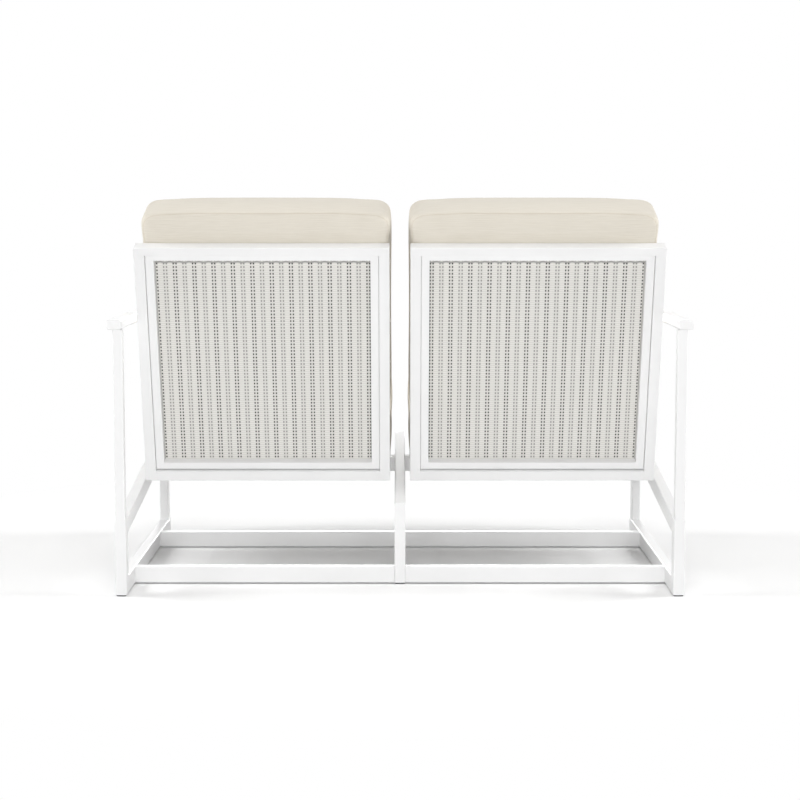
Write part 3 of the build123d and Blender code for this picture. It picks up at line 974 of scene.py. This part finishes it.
@dataclass(frozen=True)
class Lamp:
    """One square soft lamp that faces the middle of the bench."""

    name: str
    place: tuple[float, float, float]
    size: float
    power: float
    aim: tuple[float, float, float] = (0, 0, 0.4)

    def hang(self) -> None:
        """Hang the lamp, hidden from the camera."""
        data = bpy.data.lights.new(self.name, "AREA")
        data.size = self.size
        data.energy = self.power
        lamp = bpy.data.objects.new(self.name, data)
        lamp.location = self.place
        lamp.visible_camera = False
        towards = Vector(self.aim) - Vector(self.place)
        lamp.rotation_euler = towards.to_track_quat("-Z", "Y").to_euler()
        bpy.context.scene.collection.objects.link(lamp)


LAMPS = (
    Lamp("overhead_lamp", (0, 2.6, 5.5), 3.0, 74),
    Lamp("rear_lamp", (0, 5, 0.8), 2.2, 111),
    Lamp("front_lamp", (0, -5, 1), 2.2, 142),
    Lamp("left_lamp", (5, 0, 1), 2.2, 22),
    Lamp("right_lamp", (-5, 0, 1), 2.2, 22),
    Lamp("left_high_lamp", (4, 0, 3.2), 2.2, 112),
    Lamp("right_high_lamp", (-4, 0, 3.2), 2.2, 112),
)


@dataclass
class Studio:
    """A white floor and world, soft lamps, and the camera behind the bench."""

    lens: float = 85.0
    sensor: float = 36.0
    place: tuple[float, float, float] = (0.0, 4.5857, 0.883)
    pitch: float = 84.0  # degrees from straight down
    heading: float = 180.0  # degrees from a view along y
    floor_size: float = 24.0
    floor_colour: str = WHITE  # what the camera sees under the bench
    floor_bounce: str = "F2F2F2"  # what the bench is lit by
    clear_from: float = 1.0  # how far from the bench's middle the floor starts to turn plain white
    clear_to: float = 1.6
    sky: float = 0.15

    def camera(self) -> None:
        """Stand the camera where the photograph was taken from."""
        data = bpy.data.cameras.new("camera")
        data.lens = self.lens
        data.sensor_width = self.sensor
        camera = bpy.data.objects.new("camera", data)
        camera.location = self.place
        camera.rotation_euler = (math.radians(self.pitch), 0, math.radians(self.heading))
        bpy.context.scene.collection.objects.link(camera)
        bpy.context.scene.camera = camera

    def floor(self) -> None:
        """Lay the white floor, which turns into plain white for the camera away from the bench."""
        material, tree = new_surface("white_floor")
        path = put(tree, "ShaderNodeLightPath")
        seen = put(tree, "ShaderNodeMath",
                   {0: path.outputs["Is Camera Ray"], 1: path.outputs["Is Glossy Ray"]},
                   operation="MAXIMUM").outputs[0]
        colour = put(tree, "ShaderNodeMix",
                     {0: seen, 6: linear(self.floor_bounce), 7: linear(self.floor_colour)}, data_type="RGBA")
        matt = put(tree, "ShaderNodeBsdfDiffuse", {"Color": colour.outputs[2]})
        place = put(tree, "ShaderNodeTexCoord").outputs["Object"]
        away = put(tree, "ShaderNodeVectorMath", {0: place}, operation="LENGTH").outputs["Value"]
        clear = put(tree, "ShaderNodeMapRange",
                    {"Value": away, "From Min": self.clear_from, "From Max": self.clear_to},
                    interpolation_type="SMOOTHSTEP")
        hidden = put(tree, "ShaderNodeMath", {0: clear.outputs[0], 1: seen}, operation="MULTIPLY")
        white = put(tree, "ShaderNodeEmission", {"Strength": 1.0})
        shown = put(tree, "ShaderNodeMixShader",
                    {0: hidden.outputs[0], 1: matt.outputs[0], 2: white.outputs[0]})
        put(tree, "ShaderNodeOutputMaterial", {"Surface": shown.outputs[0]})
        form = bmesh.new()
        bmesh.ops.create_grid(form, x_segments=1, y_segments=1, size=self.floor_size / 2)
        add_piece("floor", mesh_of(form), material, smooth=False)

    def world(self) -> None:
        """Light the bench evenly from all round, with a white that the camera sees as white."""
        world = bpy.data.worlds.new("studio")
        world.use_nodes = True
        tree = world.node_tree
        tree.nodes.clear()
        path = put(tree, "ShaderNodeLightPath")
        glossy = put(tree, "ShaderNodeMath",
                     {0: path.outputs["Is Glossy Ray"], 1: path.outputs["Is Transmission Ray"]},
                     operation="MAXIMUM")
        seen = put(tree, "ShaderNodeMath", {0: path.outputs["Is Camera Ray"], 1: glossy.outputs[0]},
                   operation="MAXIMUM")
        level = put(tree, "ShaderNodeMapRange",
                    {"Value": seen.outputs[0], "To Min": self.sky, "To Max": 1.0})
        sky = put(tree, "ShaderNodeBackground", {"Color": linear(WHITE), "Strength": level.outputs[0]})
        put(tree, "ShaderNodeOutputWorld", {"Surface": sky.outputs[0]})
        bpy.context.scene.world = world

    def build(self) -> None:
        """Set up the camera, floor, world and lamps."""
        bpy.context.scene.view_settings.view_transform = "Standard"
        self.camera()
        self.floor()
        self.world()
        for lamp in LAMPS:
            lamp.hang()


def main() -> None:
    """Build the bench's looks around its frame."""
    logging.basicConfig(level=logging.INFO, format="%(message)s")
    Studio().build()
    finishes = Finishes.make()
    Metalwork(finishes).dress()
    Sling("back_mesh", "back_sling", BACK, 2 * MM, "sling_frame").build(finishes.mesh)
    Sling("seat_mesh", "seat_sling", SEAT, 4 * MM, "seat_frame").build(finishes.mesh)
    back = Cushion("back_pillow", "back_cushion", BACK, free_from=588 * MM, free_swell=6 * MM,
                   lift=6.3 * MM, top_rise=2.4 * MM, top_droop=14 * MM, corner_push=7 * MM)
    seat = Cushion("seat_pillow", "seat_cushion", SEAT)
    for cushion in (back, seat):
        cushion.build(finishes.cloth, finishes.seam)


if __name__ == "__main__":
    main()
